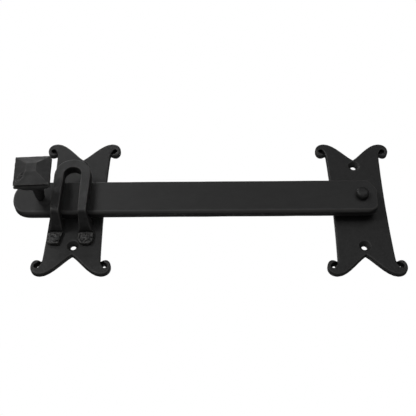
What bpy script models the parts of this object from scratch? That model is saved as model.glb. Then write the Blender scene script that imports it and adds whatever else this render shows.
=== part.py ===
"""A drop-bar latch for a door or gate: a flat cast bar turns on a pin at one scrolled plate
and falls behind an upright strap that is riveted to the other.

The finished part stands as it does on a door: +X runs along the bar to its pivoted end, +Z
is up and the front faces -Y. The origin is on the pin's axis, in the face of the door. The
pieces are drawn as if the door lay flat: x along the bar, y up the door and z out of it. One
empty, door_face, then stands them all up.
"""

import math

import bmesh
import bpy
from mathutils import Matrix, Vector

MM = 0.001
GAP = 0.3 * MM  # between pieces that touch

# Two scrolled plates, alike but for their holes
PLATE_SPACING = 246.0 * MM
PLATE_THICKNESS = 5.7 * MM
PLATE_WAIST = 23.0 * MM  # half width at mid height
PLATE_EDGE_ROUND = 0.9 * MM
SIDE_BOW = 25.0 * MM  # length of the handle that keeps the side nearly straight
NOTCH_X = 24.3 * MM  # where the scroll's curl meets the side
NOTCH_Y = 56.6 * MM
CURL_X = 28.9 * MM
CURL_Y = 54.4 * MM
LOBE_X = 33.3 * MM
LOBE_Y = 60.8 * MM
CREST_X = 25.0 * MM
CREST_Y = 68.3 * MM
V_POINT_Y = 49.6 * MM
V_HANDLE = (6.4 * MM, 54.0 * MM)
LOWER_REACH = 1.4 * MM  # the lower scrolls lie this much further from the pin
SCROLL_EYE = (28.2 * MM, 59.9 * MM, 2.2 * MM)  # x, y and radius of the recess's wide end
SCROLL_TAIL = (25.9 * MM, 57.3 * MM, 1.3 * MM)  # the same at its end near the notch
SCROLL_WEB = 1.3 * MM  # what is left behind the recess
SCROLL_PIERCE = (27.4 * MM, 59.2 * MM, 1.1 * MM)  # through the web of the lower ones
SCREW_SPACING = 84.8 * MM
SCREW_HOLE_RADIUS = 2.5 * MM
SCREW_HEAD_RADIUS = 5.1 * MM
SCREW_HEAD_DEPTH = 2.6 * MM

# The bar, measured from the pin's axis
BAR_WIDTH = 32.6 * MM
BAR_THICKNESS = 8.4 * MM
BAR_STANDOFF = 11.3 * MM  # from the door to the bar's back
BAR_FREE_END = 299.0 * MM
BAR_EDGE_ROUND = 0.7 * MM
BAR_UPPER_START = 5.2 * MM  # past the pin, where the edges turn into the pivoted end
BAR_LOWER_START = 3.6 * MM
BAR_END_UPPER = (14.2 * MM, 4.2 * MM)  # the ends of its short straight edge
BAR_END_LOWER = (12.7 * MM, -10.6 * MM)
BAR_DROOP = math.radians(0.5)  # the free end rests a little low, on the strap's feet

# Pull knob
KNOB_DISTANCE = 275.5 * MM
KNOB_SIDE = 29.6 * MM
KNOB_TWIST = math.radians(2.5)
KNOB_RIM = 5.0 * MM
KNOB_RIM_HEIGHT = 37.5 * MM  # of the rim's front edge above the bar
KNOB_POINT = 5.0 * MM  # height of the blunt pyramid
KNOB_POINT_FLAT = 8.2 * MM
KNOB_NECK_HEIGHT = 14.0 * MM
KNOB_NECK_RADIUS = 5.2 * MM
KNOB_FOOT_RADIUS = 4.2 * MM
TENON_RADIUS = 3.0 * MM
TENON_TAIL_RADIUS = 4.8 * MM
TENON_TAIL_DEPTH = 2.0 * MM

# Pin and spacer
PIN_RADIUS = 4.0 * MM
PIN_HEAD_RADIUS = 5.8 * MM
PIN_HEAD_HEIGHT = 5.8 * MM
PIN_HEAD_FULLNESS = 0.5  # exponent that squares up its dome; 1 is an ellipse
PIN_TAIL_RADIUS = 6.0 * MM
PIN_TAIL_DEPTH = 2.0 * MM
SPACER_RADIUS = 11.0 * MM

# Keeper strap, measured from the keeper plate's centre
STRAP_SHIFT = -2.5 * MM
STRAP_ARCH_OUTER = 15.9 * MM  # half the width over the strap, here the arch's radius
STRAP_ARCH_LEG = 8.8 * MM  # width of one leg there
STRAP_BEND_OUTER = 15.2 * MM
STRAP_BEND_LEG = 7.7 * MM
STRAP_HEEL_OUTER = 17.6 * MM
STRAP_HEEL_LEG = 10.8 * MM
STRAP_FRONT = 31.0 * MM  # above the door
STRAP_THICKNESS = 10.0 * MM
STRAP_ARCH_Y = 14.7 * MM
STRAP_BEND_Y = -24.4 * MM
STRAP_BEND_RADIUS = 3.6 * MM
STRAP_CROTCH_RADIUS = 1.5 * MM
STRAP_HEEL_Y = -29.6 * MM
STRAP_EDGE_ROUND = 0.9 * MM
STRAP_REACH = PLATE_SPACING + STRAP_BEND_OUTER - STRAP_SHIFT  # from the pin to the far leg
SADDLE_Y = -(BAR_WIDTH / 2 + STRAP_REACH * math.sin(BAR_DROOP) + GAP)  # the bar lies here
FOOT_X = 12.9 * MM
FOOT_WIDTH = 13.4 * MM
FOOT_THICKNESS = 4.0 * MM
FOOT_BOTTOM = -42.6 * MM
FOOT_RIGHT = (5.6 * MM, 5.6 * MM, 0.0)  # corner radii, outer and inner, and inner slant
FOOT_LEFT = (4.0 * MM, 1.0 * MM, 3.0 * MM)
FOOT_ANGLES = (0, 20, 40, 58, 74)  # degrees round the larger corner
RIVET_Y = -36.4 * MM
RIVET_RADIUS = 2.4 * MM
RIVET_HEAD_RADIUS = 4.3 * MM
RIVET_HEAD_HEIGHT = 1.5 * MM
RIVET_HEAD_FULLNESS = 0.72
RIVET_TAIL_RADIUS = 3.9 * MM
RIVET_TAIL_DEPTH = 1.5 * MM

TURN_STEPS = 40
HOLE_STEPS = 32
RECESS_STEPS = 20
OVERRUN = 2.0 * MM  # how far a cutter passes the surface
SQUARER_HANDLE = 0.64  # Bezier handle of the bar's blunt free end, in half widths
CORNER_HANDLE = 0.38  # the same for the cut corners of its pivoted end

PARTS = bpy.data.collections.new("drop_bar_latch")
CUTTERS = bpy.data.collections.new("cutters")


def clear_scene():
    for obj in list(bpy.data.objects):
        bpy.data.objects.remove(obj)
    bpy.context.scene.collection.children.link(PARTS)
    bpy.context.scene.collection.children.link(CUTTERS)


def make_material(name, colour, roughness, metallic):
    material = bpy.data.materials.new(name)
    material.use_nodes = True
    shader = material.node_tree.nodes["Principled BSDF"]
    shader.inputs["Base Color"].default_value = (*colour, 1.0)
    shader.inputs["Roughness"].default_value = roughness
    shader.inputs["Metallic"].default_value = metallic
    return material


def make_empty(name, parent=None, location=(0, 0, 0), rotation=(0, 0, 0)):
    empty = bpy.data.objects.new(name, None)
    PARTS.objects.link(empty)
    empty.parent = parent
    empty.location = location
    empty.rotation_euler = rotation
    return empty


def make_object(name, bm, parent, location=(0, 0, 0), material=None, collection=PARTS):
    mesh = bpy.data.meshes.new(name)
    bm.to_mesh(mesh)
    bm.free()
    obj = bpy.data.objects.new(name, mesh)
    collection.objects.link(obj)
    obj.parent = parent
    obj.location = location
    if material:
        mesh.materials.append(material)
    return obj


def bezier_outline(name, loop, thickness, edge_round, steps):
    """A bmesh slab on z = 0, from a loop of (point, handle before, handle after).

    A handle of None makes that side of the point straight.
    """
    curve = bpy.data.curves.new(name, "CURVE")
    curve.dimensions = "2D"
    curve.fill_mode = "BOTH"
    curve.resolution_u = steps
    curve.extrude = thickness / 2 - edge_round
    curve.bevel_depth = edge_round
    curve.bevel_resolution = 1
    curve.offset = -edge_round
    spline = curve.splines.new("BEZIER")
    spline.bezier_points.add(len(loop) - 1)
    spline.use_cyclic_u = True
    for knot, (point, before, after) in zip(spline.bezier_points, loop):
        knot.co = (*point, 0)
        knot.handle_left_type = "FREE" if before else "VECTOR"
        knot.handle_right_type = "FREE" if after else "VECTOR"
        if before:
            knot.handle_left = (*before, 0)
        if after:
            knot.handle_right = (*after, 0)
    guide = bpy.data.objects.new(name + "_guide", curve)
    CUTTERS.objects.link(guide)
    graph = bpy.context.evaluated_depsgraph_get()
    mesh = bpy.data.meshes.new_from_object(guide.evaluated_get(graph))
    bm = bmesh.new()
    bm.from_mesh(mesh)
    bmesh.ops.translate(bm, verts=bm.verts, vec=(0, 0, thickness / 2))
    bmesh.ops.remove_doubles(bm, verts=bm.verts, dist=GAP / 30)
    bmesh.ops.recalc_face_normals(bm, faces=bm.faces)
    bpy.data.objects.remove(guide)
    bpy.data.curves.remove(curve)
    bpy.data.meshes.remove(mesh)
    return bm


def turned(profile, steps=TURN_STEPS):
    """A bmesh turned about z from (radius, z) pairs that run down the outer side."""
    bm = bmesh.new()
    previous = None
    for radius, z in profile:
        vert = bm.verts.new((radius, 0, z))
        if previous:
            bm.edges.new((previous, vert))
        previous = vert
    bmesh.ops.spin(
        bm,
        geom=bm.verts[:] + bm.edges[:],
        axis=(0, 0, 1),
        cent=(0, 0, 0),
        angle=2 * math.pi,
        steps=steps,
        use_duplicate=False,
    )
    bmesh.ops.remove_doubles(bm, verts=bm.verts, dist=GAP / 30)
    bmesh.ops.recalc_face_normals(bm, faces=bm.faces)
    return bm


def combine(obj, other, operation):
    """Applies one Boolean to obj and removes the other object."""
    modifier = obj.modifiers.new(other.name, "BOOLEAN")
    modifier.operation = operation
    modifier.object = other
    bpy.context.view_layer.update()
    graph = bpy.context.evaluated_depsgraph_get()
    mesh = bpy.data.meshes.new_from_object(obj.evaluated_get(graph))
    obj.modifiers.remove(modifier)
    mesh.name = obj.data.name
    obj.data = mesh
    bpy.data.objects.remove(other)


def cut(obj, name, bm, location, parent):
    cutter = make_object(name, bm, parent, location, collection=CUTTERS)
    cutter.hide_render = True
    cutter.display_type = "WIRE"
    combine(obj, cutter, "DIFFERENCE")


def join(obj, name, bm, location, parent):
    combine(obj, make_object(name, bm, parent, location), "UNION")


def smooth(obj):
    obj.data.shade_smooth()
    obj.data.set_sharp_from_angle(angle=math.radians(35))


def plate_corner():
    """One quarter of the plate's outline, from its side up round a scroll to the V's point.

    Each knot is its point and the handles before and after it.
    """
    side = ((PLATE_WAIST, 0), (PLATE_WAIST, -SIDE_BOW), (PLATE_WAIST, SIDE_BOW))
    notch = (
        (NOTCH_X, NOTCH_Y),
        (NOTCH_X - 0.4 * MM, NOTCH_Y - 6 * MM),
        (NOTCH_X + 0.9 * MM, NOTCH_Y - 1.4 * MM),
    )
    curl = ((CURL_X, CURL_Y), (CURL_X - 1.9 * MM, CURL_Y), (CURL_X + 2.7 * MM, CURL_Y))
    lobe = ((LOBE_X, LOBE_Y), (LOBE_X, LOBE_Y - 3.4 * MM), (LOBE_X, LOBE_Y + 4.2 * MM))
    crest = ((CREST_X, CREST_Y), (CREST_X + 5.2 * MM, CREST_Y), (CREST_X - 9 * MM, CREST_Y))
    point = ((0, V_POINT_Y), V_HANDLE, (-V_HANDLE[0], V_HANDLE[1]))
    return side, notch, curl, lobe, crest, point


def plate_loop():
    """The whole outline: the quarter, then its mirror images, anticlockwise.

    The lower ones are moved down a little.
    """
    side, notch, curl, lobe, crest, point = plate_corner()
    rising = [side, notch, curl, lobe, crest, point]
    falling = [crest, lobe, curl, notch]

    def flip(knot, x, y, swap):
        drop = LOWER_REACH if y < 0 else 0
        moved = [(p[0] * x, p[1] * y - drop) for p in knot]
        return (moved[0], moved[2], moved[1]) if swap else tuple(moved)

    loop = [flip(knot, 1, 1, False) for knot in rising]
    loop += [flip(knot, -1, 1, True) for knot in falling]
    loop += [flip(side, -1, -1, False)]
    loop += [flip(knot, -1, -1, False) for knot in rising[1:]]
    loop += [flip(knot, 1, -1, True) for knot in falling]
    return loop


def screw_cutter():
    top = PLATE_THICKNESS + OVERRUN
    cone = PLATE_THICKNESS - SCREW_HEAD_DEPTH
    return turned(
        [
            (0, top),
            (SCREW_HEAD_RADIUS, top),
            (SCREW_HEAD_RADIUS, PLATE_THICKNESS),
            (SCREW_HOLE_RADIUS, cone),
            (SCREW_HOLE_RADIUS, -OVERRUN),
            (0, -OVERRUN),
        ],
        HOLE_STEPS,
    )


def riveted_hole_cutter(radius, tail_radius, tail_depth, top):
    """A round hole for a shank, flared at the back for its hammered tail."""
    return turned(
        [
            (0, top),
            (radius + GAP, top),
            (radius + GAP, tail_depth),
            (tail_radius + GAP, 0),
            (tail_radius + GAP, -OVERRUN),
            (0, -OVERRUN),
        ],
        HOLE_STEPS,
    )


def recess_cutter(across, up):
    """The comma-shaped recess that makes one corner of the plate a scroll."""
    bm = bmesh.new()
    for x, y, radius in (SCROLL_EYE, SCROLL_TAIL):
        for step in range(RECESS_STEPS):
            angle = step / RECESS_STEPS * 2 * math.pi
            rim = (x * across + radius * math.cos(angle), y * up + radius * math.sin(angle))
            bm.verts.new((*rim, SCROLL_WEB))
            bm.verts.new((*rim, PLATE_THICKNESS + OVERRUN))
    hull = bmesh.ops.convex_hull(bm, input=bm.verts)
    bmesh.ops.delete(bm, geom=hull["geom_interior"], context="VERTS")
    return bm


def pierce_cutter():
    radius = SCROLL_PIERCE[2]
    top = SCROLL_WEB + OVERRUN
    return turned([(0, top), (radius, top), (radius, -OVERRUN), (0, -OVERRUN)], RECESS_STEPS)


def make_plate(name, x, door, material):
    slab = bezier_outline(name, plate_loop(), PLATE_THICKNESS, PLATE_EDGE_ROUND, 7)
    plate = make_object(name, slab, door, (x, 0, 0), material)
    pierce_x, pierce_y, _ = SCROLL_PIERCE
    for across in (-1, 1):
        cut(plate, "scroll_recess", recess_cutter(across, 1), (x, 0, 0), door)
        cut(plate, "scroll_recess", recess_cutter(across, -1), (x, -LOWER_REACH, 0), door)
        place = (x + across * pierce_x, -pierce_y - LOWER_REACH, 0)
        cut(plate, "scroll_pierce", pierce_cutter(), place, door)
    for y in (-SCREW_SPACING / 2, SCREW_SPACING / 2):
        cut(plate, "screw_hole", screw_cutter(), (x, y, 0), door)
    return plate


def make_pivot_plate(door, material):
    plate = make_plate("pivot_plate", 0, door, material)
    hole = riveted_hole_cutter(
        PIN_RADIUS, PIN_TAIL_RADIUS, PIN_TAIL_DEPTH, PLATE_THICKNESS + OVERRUN
    )
    cut(plate, "pin_hole", hole, (0, 0, 0), door)
    smooth(plate)


def rivet_places():
    centre = -PLATE_SPACING + STRAP_SHIFT
    return {"left": centre - FOOT_X, "right": centre + FOOT_X}


def make_keeper_plate(door, material):
    plate = make_plate("keeper_plate", -PLATE_SPACING, door, material)
    for x in rivet_places().values():
        hole = riveted_hole_cutter(
            RIVET_RADIUS, RIVET_TAIL_RADIUS, RIVET_TAIL_DEPTH, PLATE_THICKNESS + OVERRUN
        )
        cut(plate, "rivet_hole", hole, (x, RIVET_Y, 0), door)
    smooth(plate)


def arc_points(cx, cy, radius, start, end, steps):
    """Points on an arc, its angles in degrees."""
    return [
        Vector(
            (
                cx + radius * math.cos(math.radians(start + (end - start) * i / steps)),
                cy + radius * math.sin(math.radians(start + (end - start) * i / steps)),
            )
        )
        for i in range(steps + 1)
    ]


def arch_sections():
    """Sections (outer, inner, side, width) of the half arch, from its crown to a leg."""
    middle = STRAP_ARCH_OUTER - STRAP_ARCH_LEG / 2
    back = STRAP_FRONT - STRAP_THICKNESS
    sections = []
    for x, y in arc_points(0, STRAP_ARCH_Y, middle, 90, 0, 9):
        side = Vector((x, y - STRAP_ARCH_Y, 0)).normalized()
        outer = Vector((x, y, STRAP_FRONT))
        sections.append((outer, Vector((x, y, back)), side, STRAP_ARCH_LEG))
    return sections


def riser_sections():
    """The same down the leg, round the bend and down to the plate, where it flares."""
    back = STRAP_FRONT - STRAP_THICKNESS
    seat = PLATE_THICKNESS + GAP
    bend_x = STRAP_BEND_OUTER - STRAP_BEND_LEG / 2
    heel_x = STRAP_HEEL_OUTER - STRAP_HEEL_LEG / 2
    bend_y = STRAP_BEND_Y + STRAP_BEND_RADIUS
    bend_z = STRAP_FRONT - STRAP_BEND_RADIUS
    crotch_y = SADDLE_Y + STRAP_CROTCH_RADIUS
    crotch_z = back - STRAP_CROTCH_RADIUS
    outside = arc_points(bend_y, bend_z, STRAP_BEND_RADIUS, 90, 180, 4)
    inside = arc_points(crotch_y, crotch_z, STRAP_CROTCH_RADIUS, 90, 180, 4)
    across = Vector((1, 0, 0))
    sections = [
        (Vector((bend_x, *outer)), Vector((bend_x, *inner)), across, STRAP_BEND_LEG)
        for outer, inner in zip(outside, inside)
    ]
    toe = seat + FOOT_THICKNESS
    heel_outer = Vector((heel_x, STRAP_HEEL_Y, toe + GAP))
    heel_inner = Vector((heel_x, SADDLE_Y, toe))
    sections.append((heel_outer, heel_inner, across, STRAP_HEEL_LEG))
    toe_outer = Vector((heel_x, STRAP_HEEL_Y - GAP, toe))
    toe_inner = Vector((heel_x, SADDLE_Y - GAP, seat))
    sections.append((toe_outer, toe_inner, across, STRAP_HEEL_LEG))
    return sections


def corner_inset(height, radius):
    """How far a rounded corner cuts in, at a height above the end that it rounds."""
    if height >= radius:
        return 0.0
    return radius - math.sqrt(radius**2 - (radius - height) ** 2)


def foot_sections(outer_round, inner_round, inner_slant):
    """The foot: shoulders below the heel, and rounded corners at its lower end."""
    seat = PLATE_THICKNESS + GAP
    shoulder = STRAP_HEEL_Y - 3 * GAP
    larger = max(outer_round, inner_round)
    heights = [larger * (1 - math.sin(math.radians(angle))) for angle in FOOT_ANGLES]
    stations = [(shoulder, GAP), (shoulder - 2 * GAP, 0)]
    stations += [(FOOT_BOTTOM + height, 0) for height in heights]
    across = Vector((1, 0, 0))
    sections = []
    for y, inset in stations:
        height = y - FOOT_BOTTOM
        slant = inner_slant * (shoulder - y) / (shoulder - FOOT_BOTTOM)
        right = FOOT_X + FOOT_WIDTH / 2 - inset - corner_inset(height, outer_round)
        left = FOOT_X - FOOT_WIDTH / 2 + inset + slant + corner_inset(height, inner_round)
        outer = Vector(((left + right) / 2, y, seat + FOOT_THICKNESS))
        inner = Vector(((left + right) / 2, y, seat))
        sections.append((outer, inner, across, right - left))
    return sections


def section_ring(bm, outer, inner, side, width):
    """A rounded rectangle of 12 points from its outer and inner middle and its width."""
    depth = outer - inner
    normal = depth.normalized()
    middle = (outer + inner) / 2
    a = width / 2 - STRAP_EDGE_ROUND
    b = depth.length / 2 - STRAP_EDGE_ROUND
    ring = []
    for quarter, (along, out) in enumerate([(1, 1), (-1, 1), (-1, -1), (1, -1)]):
        for step in range(3):
            angle = (quarter + step / 2) * math.pi / 2
            reach = side * (along * a + STRAP_EDGE_ROUND * math.cos(angle))
            rise = normal * (out * b + STRAP_EDGE_ROUND * math.sin(angle))
            ring.append(bm.verts.new(middle + reach + rise))
    return ring


def mirrored(section):
    outer, inner, side, width = section
    flip = Vector((-1, 1, 1))
    return outer * flip, inner * flip, side * flip, width


def strap_mesh():
    """A loft from one foot, over the arch, to the other foot."""
    leg = arch_sections() + riser_sections()
    half = leg + foot_sections(*FOOT_RIGHT)
    other = [mirrored(section) for section in leg[1:] + foot_sections(*FOOT_LEFT)]
    bm = bmesh.new()
    rings = [section_ring(bm, *section) for section in [*reversed(other), *half]]
    for first, second in zip(rings, rings[1:]):
        for i in range(len(first)):
            j = (i + 1) % len(first)
            bm.faces.new((first[i], first[j], second[j], second[i]))
    bm.faces.new(rings[0])
    bm.faces.new(reversed(rings[-1]))
    bmesh.ops.triangulate(bm, faces=bm.faces)
    bmesh.ops.recalc_face_normals(bm, faces=bm.faces)
    return bm


def make_keeper_strap(door, material):
    centre = -PLATE_SPACING + STRAP_SHIFT
    seat = PLATE_THICKNESS + GAP
    strap = make_object("keeper_strap", strap_mesh(), door, (centre, 0, 0), material)
    for x in rivet_places().values():
        hole = turned(
            [
                (0, seat + FOOT_THICKNESS + OVERRUN),
                (RIVET_RADIUS + GAP, seat + FOOT_THICKNESS + OVERRUN),
                (RIVET_RADIUS + GAP, seat - OVERRUN),
                (0, seat - OVERRUN),
            ],
            HOLE_STEPS,
        )
        cut(strap, "rivet_hole", hole, (x, RIVET_Y, 0), door)
    smooth(strap)


def headed_shank(head, seat, radius, tail_radius, tail_depth):
    """A domed head (radius, height, fullness) on z = seat, a shank, and a tail flared to z = 0."""
    head_radius, head_height, fullness = head
    crown = [
        (
            head_radius * math.sin(angle) ** fullness,
            seat + head_height * math.cos(angle) ** fullness,
        )
        for angle in [math.radians(step * 11.25) for step in range(8)]
    ]
    return turned(
        [
            *crown,
            (head_radius, seat),
            (radius, seat),
            (radius, tail_depth),
            (tail_radius, 0),
            (0, 0),
        ]
    )


def make_keeper_rivets(door, material):
    seat = PLATE_THICKNESS + GAP + FOOT_THICKNESS + GAP
    for side, x in rivet_places().items():
        head = (RIVET_HEAD_RADIUS, RIVET_HEAD_HEIGHT, RIVET_HEAD_FULLNESS)
        rivet = headed_shank(head, seat, RIVET_RADIUS, RIVET_TAIL_RADIUS, RIVET_TAIL_DEPTH)
        smooth(make_object("keeper_rivet_" + side, rivet, door, (x, RIVET_Y, 0), material))


def make_pivot_pin(door, material):
    head = (PIN_HEAD_RADIUS, PIN_HEAD_HEIGHT, PIN_HEAD_FULLNESS)
    seat = BAR_STANDOFF + BAR_THICKNESS + GAP
    pin = headed_shank(head, seat, PIN_RADIUS, PIN_TAIL_RADIUS, PIN_TAIL_DEPTH)
    smooth(make_object("pivot_pin", pin, door, material=material))


def make_pivot_spacer(door, material):
    low = PLATE_THICKNESS + GAP
    high = BAR_STANDOFF - GAP
    ring = turned(
        [
            (PIN_RADIUS + GAP, high),
            (SPACER_RADIUS, high),
            (SPACER_RADIUS, low),
            (PIN_RADIUS + GAP, low),
            (PIN_RADIUS + GAP, high),
        ]
    )
    smooth(make_object("pivot_spacer", ring, door, material=material))


def bar_corner(start, end, edge_y):
    """The handles, at start and at end, of the curve that cuts a corner of the bar."""
    corner_x = end[0]
    at_start = (start + (corner_x - start) * CORNER_HANDLE, edge_y)
    at_end = (corner_x, end[1] + (edge_y - end[1]) * CORNER_HANDLE)
    return at_start, at_end


def bar_loop():
    """The bar's outline, anticlockwise from the top of its pivoted end."""
    half = BAR_WIDTH / 2
    tip = BAR_FREE_END
    shoulder = tip - half
    reach = half * SQUARER_HANDLE
    upper_start, upper_end = bar_corner(BAR_UPPER_START, BAR_END_UPPER, half)
    lower_start, lower_end = bar_corner(BAR_LOWER_START, BAR_END_LOWER, -half)
    return [
        ((BAR_UPPER_START, half), upper_start, None),
        ((-shoulder, half), None, (-shoulder - reach, half)),
        ((-tip, 0), (-tip, reach), (-tip, -reach)),
        ((-shoulder, -half), (-shoulder - reach, -half), None),
        ((BAR_LOWER_START, -half), None, lower_start),
        (BAR_END_LOWER, lower_end, None),
        (BAR_END_UPPER, None, upper_end),
    ]


def make_latch_bar(pivot, material):
    slab = bezier_outline("latch_bar", bar_loop(), BAR_THICKNESS, BAR_EDGE_ROUND, 9)
    bar = make_object("latch_bar", slab, pivot, (0, 0, BAR_STANDOFF), material)
    pin_hole = turned(
        [
            (0, BAR_THICKNESS + OVERRUN),
            (PIN_RADIUS + GAP, BAR_THICKNESS + OVERRUN),
            (PIN_RADIUS + GAP, -OVERRUN),
            (0, -OVERRUN),
        ],
        HOLE_STEPS,
    )
    cut(bar, "pin_hole", pin_hole, (0, 0, BAR_STANDOFF), pivot)
    tenon_hole = riveted_hole_cutter(
        TENON_RADIUS, TENON_TAIL_RADIUS, TENON_TAIL_DEPTH, BAR_THICKNESS + OVERRUN
    )
    cut(bar, "tenon_hole", tenon_hole, (-KNOB_DISTANCE, 0, BAR_STANDOFF), pivot)
    smooth(bar)


def square_cone(bottom_side, top_side, bottom, top):
    """A four-sided frustum with its sides along x and y."""
    bm = bmesh.new()
    bmesh.ops.create_cone(
        bm,
        cap_ends=True,
        segments=4,
        radius1=bottom_side / math.sqrt(2),
        radius2=top_side / math.sqrt(2),
        depth=top - bottom,
        matrix=Matrix.Translation((0, 0, (top + bottom) / 2))
        @ Matrix.Rotation(math.pi / 4, 4, "Z"),
    )
    return bm


def make_pull_knob(pivot, material):
    """The knob with its stem and the tenon that is hammered over in the bar's back."""
    face = BAR_THICKNESS + GAP  # heights here are measured from the bar's back
    rim_front = face + KNOB_RIM_HEIGHT
    rim_back = rim_front - KNOB_RIM
    neck = face + KNOB_NECK_HEIGHT
    place = (-KNOB_DISTANCE, 0, BAR_STANDOFF)
    head = square_cone(KNOB_SIDE, KNOB_SIDE, rim_back, rim_front)
    knob = make_object("pull_knob", head, pivot, place, material)
    tip = rim_front + KNOB_POINT
    join(knob, "point", square_cone(KNOB_SIDE, KNOB_POINT_FLAT, rim_front, tip), place, pivot)
    collar = KNOB_NECK_RADIUS * math.sqrt(2)
    join(knob, "throat", square_cone(collar, KNOB_SIDE, neck, rim_back), place, pivot)
    stem = turned(
        [
            (0, rim_back),
            (KNOB_NECK_RADIUS, rim_back),
            (KNOB_NECK_RADIUS, neck),
            (KNOB_FOOT_RADIUS, face),
            (TENON_RADIUS, face),
            (TENON_RADIUS, TENON_TAIL_DEPTH),
            (TENON_TAIL_RADIUS, 0),
            (0, 0),
        ]
    )
    join(knob, "stem", stem, place, pivot)
    knob.rotation_euler = (0, 0, KNOB_TWIST)
    smooth(knob)


def main():
    clear_scene()
    cast = make_material("cast_iron_black", (0.02, 0.02, 0.021), 0.55, 0.0)
    wrought = make_material("strap_black", (0.024, 0.023, 0.023), 0.5, 0.0)
    door = make_empty("door_face", rotation=(math.pi / 2, 0, 0))
    pivot = make_empty("bar_pivot", door, rotation=(0, 0, BAR_DROOP))
    make_pivot_plate(door, cast)
    make_keeper_plate(door, cast)
    make_keeper_strap(door, wrought)
    make_keeper_rivets(door, wrought)
    make_pivot_pin(door, wrought)
    make_pivot_spacer(door, cast)
    make_latch_bar(pivot, cast)
    make_pull_knob(pivot, cast)


main()
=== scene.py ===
"""Looks for the drop-bar latch: each CAD piece gets a cast or hammered iron skin in its place.

A skin starts as a copy of its CAD solid, is remeshed finely, sunk and dented, and is held within
the solid's box, so that it keeps the CAD sizes. Nearly all of it lies inside the solid; under the
rivets' heads and beside the scrolls' recesses a little stands out, by up to 0.6 mm.

In the frame x runs along the bar to the right, -y points out of the door and z points up it. The
back of both plates lies at y = 0.
"""

import math

import bmesh
import bpy
import numpy as np
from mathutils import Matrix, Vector


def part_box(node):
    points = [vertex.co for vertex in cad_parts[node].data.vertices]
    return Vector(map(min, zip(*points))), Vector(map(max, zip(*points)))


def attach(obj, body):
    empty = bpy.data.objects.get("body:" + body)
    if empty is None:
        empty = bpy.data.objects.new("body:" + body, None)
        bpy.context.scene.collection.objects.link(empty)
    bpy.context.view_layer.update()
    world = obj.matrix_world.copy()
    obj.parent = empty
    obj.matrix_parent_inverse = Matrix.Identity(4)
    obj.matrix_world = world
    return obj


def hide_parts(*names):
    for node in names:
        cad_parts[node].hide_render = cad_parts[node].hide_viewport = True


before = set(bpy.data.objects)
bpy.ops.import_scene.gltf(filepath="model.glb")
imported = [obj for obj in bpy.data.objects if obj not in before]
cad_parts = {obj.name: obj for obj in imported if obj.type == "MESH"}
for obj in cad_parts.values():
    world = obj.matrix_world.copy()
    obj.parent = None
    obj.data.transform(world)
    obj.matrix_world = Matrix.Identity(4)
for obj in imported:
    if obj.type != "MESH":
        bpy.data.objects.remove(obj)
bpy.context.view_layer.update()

MM = 0.001
JOIN_DISTANCE = 0.01 * MM
SCENE = bpy.context.scene

# Each light: name, degrees above and to the right of its aim, metres away, size, watts
STUDIO_LIGHTS = [
    ("key", 5, -30, 1.2, 0.3, 3.0),
    ("upper_left", 32, -40, 1.2, 0.25, 1.4),
    ("upper", 18, 20, 1.2, 0.6, 1.5),
    ("high_left", 65, -45, 1.2, 0.3, 0.75),
    ("back", 15, 180, 1.2, 0.8, 4.5),
]
KNOB_END_LIGHTS = [
    ("knob_low", -20, -15, 0.45, 0.15, 0.08),
    ("knob_high", 78, -40, 0.45, 0.15, 0.3),
]
KNOB_END_AIM = 118 * MM  # their aim lies this far to the left of the camera's
LIGHT_FROM_BELOW = 0.15  # of the world, fading to none from above

CAMERA_AIM = Vector((-132.2 * MM, 0, 0))
CAMERA_DISTANCE = 639.65 * MM
CAMERA_TILT = 55.5  # degrees between its line of sight and the door
CAMERA_LENS = 62.84  # mm, on a sensor of SENSOR_WIDTH mm
SENSOR_WIDTH = 36

FLOOR_SIZE = 6
FLOOR_HEIGHT = -0.5
FLOOR_GLOW = 0.75  # so that the floor is pale in light this weak; it lights nothing else

# Real sizes that the relief follows
SCREW_SPACING = 84.8 * MM
SCREW_RISE = 0.7 * MM  # of the holes' middle above the plate's
SCREW_RADIUS = 2.5 * MM
SCREW_WALL = 2.9 * MM  # from the door to where the countersink starts
BORE_MARGIN = 0.7 * MM  # by which a wall may stray before it is brought back
BAR_DROOP = 0.5  # degrees, by which its free end hangs low
BAR_HALF = 16.3 * MM
BAR_FRONT = 19.7 * MM  # from the door to its front
CHAMFER_WIDTH = 1.8 * MM
CHAMFER_DEPTH = 1.4 * MM
KNOB_HALF = 14.8 * MM
KNOB_RIM = 2.5 * MM  # width of the band in from its sides that the lip's undercut moves
KNOB_POINT = 5.0 * MM  # height of the pyramid in front of the rim
KNOB_TWIST = 3.0  # degrees, the bar's droop among them
LIP_THICKNESS = 0.4 * MM
LIP_WIDTH = 2.6 * MM  # of the undercut behind it
LIP_DEPTH = 3.0 * MM
LIP_STEEPNESS = 6  # the undercut reaches its full depth within a sixth of its width
HEEL_Z = -30.5 * MM
HEEL_HEIGHT = 14.0 * MM  # from the door, of the part of the strap that may be creased
CREASE_WIDTH = 0.9 * MM
CREASE_DEPTH = 2.2 * MM
RIVET_HEAD_HEIGHT = 1.5 * MM
FLAT_HEAD_HEIGHT = 0.7 * MM

# Steps towards the neighbours' mean in one pass: in and back out again, or only in
FAIR_PASS = [0.5, -0.53]
ROUND_PASS = [0.5]

# Each relief's layers in mm: size of the features, greatest depth
PLATE_RELIEF = [(14, 0.16), (5, 0.07), (1.8, 0.04)]
BAR_RELIEF = [(20, 0.2), (7, 0.07), (2.2, 0.03)]
STRAP_RELIEF = [(9, 0.4), (3.5, 0.14), (1.4, 0.04)]
KNOB_RELIEF = [(8, 0.4), (3, 0.14), (1.3, 0.04)]
SMALL_RELIEF = [(4, 0.16), (1.5, 0.06)]
LATTICE = 48  # cells of random numbers along each axis of a noise table
NOISE_SHIFT = 1000.0  # cells, which keeps the places in the table above zero
DENT_REACH = (0.6, 1.3)  # least and greatest share of the radius asked for
DENT_PRESS = (0.4, 1.0)  # the same of the depth

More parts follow.
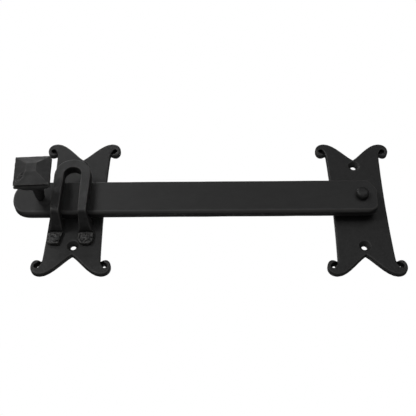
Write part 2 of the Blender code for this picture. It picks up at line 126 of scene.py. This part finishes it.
# How far points stand out of a smoother surface: 0.5 where it is flat
EDGE_PASSES = 10
EDGE_RANGE = 2.0  # mesh edge lengths for a height 1 greater
WEAR_AND_HIGHLIGHT_ABOVE = (0.53, 0.6)  # heights where the edges' wear and painted highlight start and are full
PAINTED_SHADE_BELOW = (0.38, 0.46)  # heights where the hollows' painted shade is full and ends

# Colours and the sizes of their features, in features to the metre
# Lighter iron for raised edges: partly wear, partly painted highlight
BARE_IRON_AND_HIGHLIGHT = [(0.3, (0.075, 0.073, 0.071)), (0.7, (0.1, 0.098, 0.095))]
# Near-black colours for hollows and creases: painted shade
PAINTED_SHADE_COLOURS = [(0.3, 0.001), (0.7, 0.003)]
BLOTCHES = 160
GLOSS_PATCHES = 420
GRAIN = 1500


# ---------------------------------------------------------------- mesh tools
def solid_copy(name, node):
    """A new object with the CAD node's own mesh, its split corners joined again."""
    bm = bmesh.new()
    bm.from_mesh(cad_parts[node].data)
    bmesh.ops.remove_doubles(bm, verts=bm.verts, dist=JOIN_DISTANCE)
    mesh = bpy.data.meshes.new(name)
    bm.to_mesh(mesh)
    bm.free()
    mesh.materials.clear()
    obj = bpy.data.objects.new(name, mesh)
    SCENE.collection.objects.link(obj)
    return obj


def remesh(obj, voxel):
    """Replaces the mesh by an even grid of quads, voxel apart."""
    modifier = obj.modifiers.new("voxels", "REMESH")
    modifier.mode = "VOXEL"
    modifier.voxel_size = voxel
    bpy.context.view_layer.update()
    graph = bpy.context.evaluated_depsgraph_get()
    mesh = bpy.data.meshes.new_from_object(obj.evaluated_get(graph))
    obj.modifiers.clear()
    mesh.name = obj.name
    old = obj.data
    obj.data = mesh
    bpy.data.meshes.remove(old)


def read_points(mesh):
    points = np.empty(len(mesh.vertices) * 3)
    mesh.vertices.foreach_get("co", points)
    return points.reshape(-1, 3)


def read_normals(mesh):
    normals = np.empty(len(mesh.vertices) * 3)
    mesh.vertex_normals.foreach_get("vector", normals)
    return normals.reshape(-1, 3)


def write_points(mesh, points):
    mesh.vertices.foreach_set("co", points.ravel())
    mesh.update()


def neighbour_means(values, edges, counts):
    total = np.zeros_like(values)
    for axis in range(values.shape[1]):
        for here, there in ((0, 1), (1, 0)):
            total[:, axis] += np.bincount(
                edges[:, here], weights=values[edges[:, there], axis], minlength=len(values)
            )
    return total / counts[:, None]


def read_edges(mesh):
    edges = np.empty(len(mesh.edges) * 2, dtype=np.int64)
    mesh.edges.foreach_get("vertices", edges)
    return edges.reshape(-1, 2)


def smoothed(mesh, steps):
    """The mesh's points after moving them towards their neighbours' means by each step."""
    edges = read_edges(mesh)
    points = read_points(mesh)
    counts = np.bincount(edges.ravel(), minlength=len(points)).astype(float)
    for step in steps:
        points += step * (neighbour_means(points, edges, counts) - points)
    return points


def relax(obj, fair_passes, round_passes):
    """Fairs out the voxels without shrinking, then rounds the edges off a little."""
    steps = FAIR_PASS * fair_passes + ROUND_PASS * round_passes
    write_points(obj.data, smoothed(obj.data, steps))


def mark_edges(obj):
    """Stores how far each point stands out of a smoother surface, for the edges' wear and painted
    highlight and the hollows' painted shade.
    """
    mesh = obj.data
    points = read_points(mesh)
    edges = read_edges(mesh)
    length = np.mean(np.linalg.norm(points[edges[:, 0]] - points[edges[:, 1]], axis=1))
    smoother = smoothed(mesh, ROUND_PASS * EDGE_PASSES)
    out = np.sum((points - smoother) * read_normals(mesh), axis=1)
    height = mesh.attributes.new("edge_height", "FLOAT", "POINT")
    height.data.foreach_set("value", 0.5 + out / (EDGE_RANGE * length))


# ---------------------------------------------------------------- surface relief
def noise(points, size, seed):
    """Smooth noise from 0 to 1 with features about size across."""
    table = np.random.default_rng(seed).random((LATTICE, LATTICE, LATTICE))
    place = points / size + NOISE_SHIFT
    cell = np.floor(place).astype(int)
    part = place - cell
    part = part * part * (3 - 2 * part)
    value = np.zeros(len(points))
    for corner in range(8):
        step = np.array([corner & 1, corner >> 1 & 1, corner >> 2 & 1])
        weight = np.prod(np.where(step, part, 1 - part), axis=1)
        i, j, k = ((cell + step) % LATTICE).T
        value += weight * table[i, j, k]
    return value


def sink(obj, layers, seed, walls=1.0):
    """Sinks the surface by layers of noise, each (feature size, greatest depth) in mm.

    Surfaces square to the door, hole walls among them, sink only by the share in walls.
    """
    mesh = obj.data
    points = read_points(mesh)
    normals = read_normals(mesh)
    depth = np.zeros(len(points))
    for number, (size, greatest) in enumerate(layers):
        depth += greatest * MM * noise(points, size * MM, seed + number)
    depth *= walls + (1 - walls) * np.abs(normals[:, 1])
    write_points(mesh, points - normals * depth[:, None])


def hammer(obj, count, radius, depth, seed, where=None):
    """Presses round dents into the surface at random points, or at those that where picks."""
    mesh = obj.data
    points = read_points(mesh)
    normals = read_normals(mesh)
    rng = np.random.default_rng(seed)
    choice = np.arange(len(points)) if where is None else np.flatnonzero(where(points, normals))
    for centre in rng.choice(choice, count):
        reach = radius * rng.uniform(*DENT_REACH)
        press = depth * rng.uniform(*DENT_PRESS)
        offset = points - points[centre]
        fade = np.clip(1 - np.sum(offset**2, axis=1) / reach**2, 0, 1) ** 2
        points -= normals[centre] * (press * fade)[:, None]
    write_points(mesh, points)


def middle(node):
    low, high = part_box(node)
    return (np.array(low) + np.array(high)) / 2


def true_bores(plate, node):
    """Brings the walls of a plate's two screw holes back to their real radius."""
    points = read_points(plate.data)
    centre = middle(node)
    for side in (-1, 1):
        across = points[:, 0] - centre[0]
        up = points[:, 2] - centre[2] - side * SCREW_SPACING / 2 - SCREW_RISE
        radius = np.hypot(across, up)
        wall = (radius < SCREW_RADIUS + BORE_MARGIN) & (points[:, 1] > -SCREW_WALL)
        scale = np.where(wall, SCREW_RADIUS / np.maximum(radius, 0.1 * MM), 1.0)
        points[:, 0] += across * (scale - 1)
        points[:, 2] += up * (scale - 1)
    write_points(plate.data, points)


def chamfer(bar):
    """Slopes the front of the bar back along its lower edge."""
    points = read_points(bar.data)
    turn = math.radians(BAR_DROOP)
    down = -points[:, 2] * math.cos(turn) + points[:, 0] * math.sin(turn)
    near = np.clip((down - BAR_HALF + CHAMFER_WIDTH) / CHAMFER_WIDTH, 0, 1)
    front = -points[:, 1] > BAR_FRONT - 2 * CHAMFER_DEPTH
    points[:, 1] += CHAMFER_DEPTH * near * front
    write_points(bar.data, points)


def lip(knob):
    """Undercuts the knob's rim behind its front edge: a guess at what darkens its underside."""
    points = read_points(knob.data)
    centre = middle("pull_knob")
    turn = math.radians(KNOB_TWIST)
    across = points[:, 0] - centre[0]
    up = points[:, 2] - centre[2]
    u = across * math.cos(turn) + up * math.sin(turn)
    v = up * math.cos(turn) - across * math.sin(turn)
    reach = np.maximum(np.maximum(np.abs(u), np.abs(v)), 1 * MM)
    front = -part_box("pull_knob")[0][1] - KNOB_POINT
    back = (front - LIP_THICKNESS + points[:, 1]) / LIP_WIDTH
    rise = np.clip(LIP_STEEPNESS * back, 0, 1) * np.clip(LIP_STEEPNESS * (1 - back), 0, 1)
    scale = np.where(reach > KNOB_HALF - KNOB_RIM, 1 - LIP_DEPTH * rise / reach, 1.0)
    points[:, 0] = centre[0] + across * scale
    points[:, 2] = centre[2] + up * scale
    write_points(knob.data, points)


def crease(strap):
    """Presses a furrow across each leg where its riser meets the foot."""
    points = read_points(strap.data)
    normals = read_normals(strap.data)
    away = (points[:, 2] - HEEL_Z) / CREASE_WIDTH
    low = -points[:, 1] < HEEL_HEIGHT
    facing = np.clip(-normals[:, 1] - 0.2 * normals[:, 2], 0, 1)  # the front, and a little below
    points[:, 1] += CREASE_DEPTH * np.exp(-(away**2)) * low * facing
    write_points(strap.data, points)


def flatten(obj, height):
    """Presses a rivet's head down to a height above its edge."""
    points = read_points(obj.data)
    front = points[:, 1].min()
    seat = front + RIVET_HEAD_HEIGHT
    head = points[:, 1] < seat
    points[head, 1] = seat + (points[head, 1] - seat) * height / RIVET_HEAD_HEIGHT
    write_points(obj.data, points)


def keep_inside(obj, node):
    """Holds every point within the CAD node's box."""
    low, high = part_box(node)
    write_points(obj.data, np.clip(read_points(obj.data), np.array(low), np.array(high)))


# ---------------------------------------------------------------- materials
def shader_node(tree, kind, values=None, **settings):
    made = tree.nodes.new("ShaderNode" + kind)
    for key, value in settings.items():
        setattr(made, key, value)
    for key, value in (values or {}).items():
        made.inputs[key].default_value = value
    return made


def ramp(tree, source, stops):
    """A colour ramp from (position, grey level or colour) stops."""
    made = shader_node(tree, "ValToRGB")
    elements = made.color_ramp.elements
    while len(elements) < len(stops):
        elements.new(0.5)
    for element, (position, colour) in zip(elements, stops):
        element.position = position
        element.color = (*colour, 1) if isinstance(colour, tuple) else (colour,) * 3 + (1,)
    tree.links.new(source, made.inputs["Fac"])
    return made.outputs["Color"]


def mixed(tree, factor, first, second):
    made = shader_node(tree, "Mix", data_type="RGBA")
    tree.links.new(factor, made.inputs["Factor"])
    tree.links.new(first, made.inputs["A"])
    tree.links.new(second, made.inputs["B"])
    return made.outputs["Result"]


def noise_texture(tree, scale, detail, stretch=(1, 1, 1)):
    """Noise over the frame's coordinates, with scale features to the metre."""
    place = shader_node(tree, "TexCoord")
    mapping = shader_node(tree, "Mapping", {"Scale": stretch})
    texture = shader_node(tree, "TexNoise", {"Scale": scale, "Detail": detail})
    tree.links.new(place.outputs["Object"], mapping.inputs["Vector"])
    tree.links.new(mapping.outputs["Vector"], texture.inputs["Vector"])
    return texture.outputs["Fac"]


def iron(name, dark, light, rough, grain, wear_and_highlight, stretch=(1, 1, 1)):
    """Black coated iron: blotches of colour and gloss, fine grain, raised edges lightened as wear
    and painted highlight, hollows darkened as painted shade.
    """
    material = bpy.data.materials.new(name)
    material.use_nodes = True
    tree = material.node_tree
    shader = tree.nodes["Principled BSDF"]

    blotches = noise_texture(tree, BLOTCHES, 4, stretch)
    colour = ramp(tree, blotches, [(0.3, dark), (0.7, light)])
    height = shader_node(tree, "Attribute", attribute_name="edge_height").outputs["Fac"]
    # Raised edges lighten towards bare iron: partly wear, partly painted highlight
    wear_and_highlight_mask = ramp(tree, height, [(WEAR_AND_HIGHLIGHT_ABOVE[0], 0.0), (WEAR_AND_HIGHLIGHT_ABOVE[1], wear_and_highlight)])
    bare_and_highlight_colour = ramp(tree, blotches, BARE_IRON_AND_HIGHLIGHT)
    # Hollows and creases darken towards black: painted shade
    painted_shade_mask = ramp(tree, height, [(PAINTED_SHADE_BELOW[0], 1.0), (PAINTED_SHADE_BELOW[1], 0.0)])
    painted_shade_colour = ramp(tree, blotches, PAINTED_SHADE_COLOURS)
    coat = mixed(tree, painted_shade_mask, mixed(tree, wear_and_highlight_mask, colour, bare_and_highlight_colour), painted_shade_colour)
    tree.links.new(coat, shader.inputs["Base Color"])

    patches = noise_texture(tree, GLOSS_PATCHES, 3, stretch)
    gloss = ramp(tree, patches, [(0.3, rough[0]), (0.7, rough[1])])
    tree.links.new(gloss, shader.inputs["Roughness"])

    fine = shader_node(tree, "Bump", {"Strength": 0.5, "Distance": grain})
    tree.links.new(noise_texture(tree, GRAIN, 3), fine.inputs["Height"])
    tree.links.new(fine.outputs["Normal"], shader.inputs["Normal"])
    return material


# ---------------------------------------------------------------- pieces
def finish_piece(obj, node, material, body):
    keep_inside(obj, node)
    mark_edges(obj)
    obj.data.shade_smooth()
    obj.data.materials.append(material)
    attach(obj, body)
    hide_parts(node)


def make_plate(node, seed, material):
    plate = solid_copy(node + "_skin", node)
    remesh(plate, 0.46 * MM)
    relax(plate, fair_passes=6, round_passes=2)
    sink(plate, PLATE_RELIEF, seed, walls=0.3)
    true_bores(plate, node)
    finish_piece(plate, node, material, "door_side")


def make_bar(material):
    bar = solid_copy("latch_bar_skin", "latch_bar")
    remesh(bar, 0.56 * MM)
    relax(bar, fair_passes=6, round_passes=2)
    chamfer(bar)
    sink(bar, BAR_RELIEF, seed=20, walls=0.2)
    finish_piece(bar, "latch_bar", material, "bar")


def make_strap(material):
    strap = solid_copy("keeper_strap_skin", "keeper_strap")
    remesh(strap, 0.36 * MM)
    relax(strap, fair_passes=6, round_passes=3)
    crease(strap)
    sink(strap, STRAP_RELIEF, seed=30)

    def feet(points, normals):
        return (normals[:, 1] < -0.8) & (points[:, 2] < HEEL_Z)

    hammer(strap, count=60, radius=3.5 * MM, depth=0.3 * MM, seed=31)
    hammer(strap, count=50, radius=1.9 * MM, depth=0.4 * MM, seed=32, where=feet)
    finish_piece(strap, "keeper_strap", material, "door_side")


def make_knob(material):
    knob = solid_copy("pull_knob_skin", "pull_knob")
    remesh(knob, 0.32 * MM)
    relax(knob, fair_passes=6, round_passes=3)
    sink(knob, KNOB_RELIEF, seed=40)
    lip(knob)
    centre = middle("pull_knob")

    def lower_left_edge(points, normals):
        left = points[:, 0] - centre[0]
        up = points[:, 2] - centre[2]
        return (normals[:, 1] < -0.7) & (np.abs(left - up) < 2 * MM) & (left < -5 * MM)

    def point(points, normals):
        return np.hypot(points[:, 0] - centre[0], points[:, 2] - centre[2]) < 3 * MM

    hammer(knob, count=30, radius=4 * MM, depth=0.3 * MM, seed=41)
    hammer(knob, count=30, radius=1.5 * MM, depth=0.4 * MM, seed=42, where=lower_left_edge)
    hammer(knob, count=5, radius=5 * MM, depth=0.5 * MM, seed=43, where=point)
    finish_piece(knob, "pull_knob", material, "bar")


def make_small(node, voxel, seed, material, dents=0, head=None):
    """A rivet, the pin or the spacer, with dents in its front and its head pressed down."""
    piece = solid_copy(node + "_skin", node)
    remesh(piece, voxel)
    relax(piece, fair_passes=5, round_passes=2)
    if head:
        flatten(piece, head)
    sink(piece, SMALL_RELIEF, seed)

    def front(points, normals):
        return normals[:, 1] < -0.7

    hammer(piece, count=dents, radius=1.7 * MM, depth=0.45 * MM, seed=seed + 2, where=front)
    finish_piece(piece, node, material, "door_side")


# ---------------------------------------------------------------- studio
def area_light(aim, name, rise, turn, distance, size, power):
    """A square light that faces aim from a direction given in degrees up and to the right."""
    rise = math.radians(rise)
    turn = math.radians(turn)
    flat = math.cos(rise)
    way = Vector((math.sin(turn) * flat, -math.cos(turn) * flat, math.sin(rise)))
    data = bpy.data.lights.new(name, "AREA")
    data.size = size
    data.energy = power
    light = bpy.data.objects.new(name, data)
    light.location = aim + way * distance
    light.rotation_euler = (-way).to_track_quat("-Z", "Y").to_euler()
    SCENE.collection.objects.link(light)


def make_world():
    """White where the camera sees it; on the latch a dim light from below."""
    world = bpy.data.worlds.new("studio")
    SCENE.world = world
    world.use_nodes = True
    tree = world.node_tree
    tree.nodes.clear()
    seen = shader_node(tree, "Background", {"Color": (1, 1, 1, 1), "Strength": 1.0})
    lit = shader_node(tree, "Background", {"Strength": 1.0})
    place = shader_node(tree, "TexCoord")
    split = shader_node(tree, "SeparateXYZ")
    tree.links.new(place.outputs["Generated"], split.inputs["Vector"])
    fade = {"From Min": -1.0, "From Max": 1.0, "To Min": LIGHT_FROM_BELOW, "To Max": 0.0}
    level = shader_node(tree, "MapRange", fade)
    tree.links.new(split.outputs["Z"], level.inputs["Value"])
    tree.links.new(level.outputs["Result"], lit.inputs["Color"])
    path = shader_node(tree, "LightPath")
    mix = shader_node(tree, "MixShader")
    output = shader_node(tree, "OutputWorld")
    tree.links.new(path.outputs["Is Camera Ray"], mix.inputs["Fac"])
    tree.links.new(lit.outputs["Background"], mix.inputs[1])
    tree.links.new(seen.outputs["Background"], mix.inputs[2])
    tree.links.new(mix.outputs["Shader"], output.inputs["Surface"])


def make_floor():
    place = (CAMERA_AIM.x, CAMERA_AIM.y, FLOOR_HEIGHT)
    bpy.ops.mesh.primitive_plane_add(size=FLOOR_SIZE, location=place)
    floor = bpy.context.object
    floor.name = "floor"
    floor.visible_diffuse = False
    floor.visible_glossy = False
    material = bpy.data.materials.new("pale_floor")
    material.use_nodes = True
    shader = material.node_tree.nodes["Principled BSDF"]
    shader.inputs["Base Color"].default_value = (0.82, 0.82, 0.81, 1)
    shader.inputs["Roughness"].default_value = 0.8
    shader.inputs["Emission Color"].default_value = (1, 1, 0.99, 1)
    shader.inputs["Emission Strength"].default_value = FLOOR_GLOW
    floor.data.materials.append(material)


def make_camera():
    """A camera below the latch that looks up at the door."""
    tilt = math.radians(CAMERA_TILT)
    back = Vector((0, -math.sin(tilt), -math.cos(tilt)))
    data = bpy.data.cameras.new("camera")
    data.lens = CAMERA_LENS
    data.sensor_width = SENSOR_WIDTH
    camera = bpy.data.objects.new("camera", data)
    camera.location = CAMERA_AIM + back * CAMERA_DISTANCE
    camera.rotation_euler = (-back).to_track_quat("-Z", "Y").to_euler()
    SCENE.collection.objects.link(camera)
    SCENE.camera = camera


def make_studio():
    SCENE.view_settings.view_transform = "Standard"
    make_camera()
    make_world()
    for light in STUDIO_LIGHTS:
        area_light(CAMERA_AIM, *light)
    for light in KNOB_END_LIGHTS:
        area_light(CAMERA_AIM - Vector((KNOB_END_AIM, 0, 0)), *light)
    make_floor()


def main():
    # The edge setting of each iron sets how far its raised edges lighten: wear and painted
    # highlight
    plate_iron = iron(
        "cast_plate_black", dark=0.017, light=0.022, rough=(0.54, 0.6), grain=0.12 * MM, wear_and_highlight=0.3
    )
    bar_iron = iron(
        "bar_black",
        dark=0.021,
        light=0.024,
        rough=(0.52, 0.57),
        grain=0.07 * MM,
        wear_and_highlight=0.5,
        stretch=(0.35, 1, 1),
    )
    strap_iron = iron(
        "strap_black", dark=0.028, light=0.037, rough=(0.44, 0.54), grain=0.1 * MM, wear_and_highlight=1.0
    )
    knob_iron = iron(
        "knob_black", dark=0.032, light=0.043, rough=(0.56, 0.68), grain=0.1 * MM, wear_and_highlight=0.7
    )
    pin_iron = iron(
        "pin_black", dark=0.012, light=0.018, rough=(0.42, 0.5), grain=0.08 * MM, wear_and_highlight=0.4
    )
    make_plate("pivot_plate", 10, plate_iron)
    make_plate("keeper_plate", 15, plate_iron)
    make_bar(bar_iron)
    make_strap(strap_iron)
    make_knob(knob_iron)
    flat = FLAT_HEAD_HEIGHT
    make_small("keeper_rivet_left", 0.2 * MM, 50, strap_iron, dents=24, head=flat)
    make_small("keeper_rivet_right", 0.2 * MM, 55, strap_iron, dents=20)
    make_small("pivot_pin", 0.24 * MM, 60, pin_iron)
    make_small("pivot_spacer", 0.3 * MM, 65, plate_iron)
    make_studio()


main()
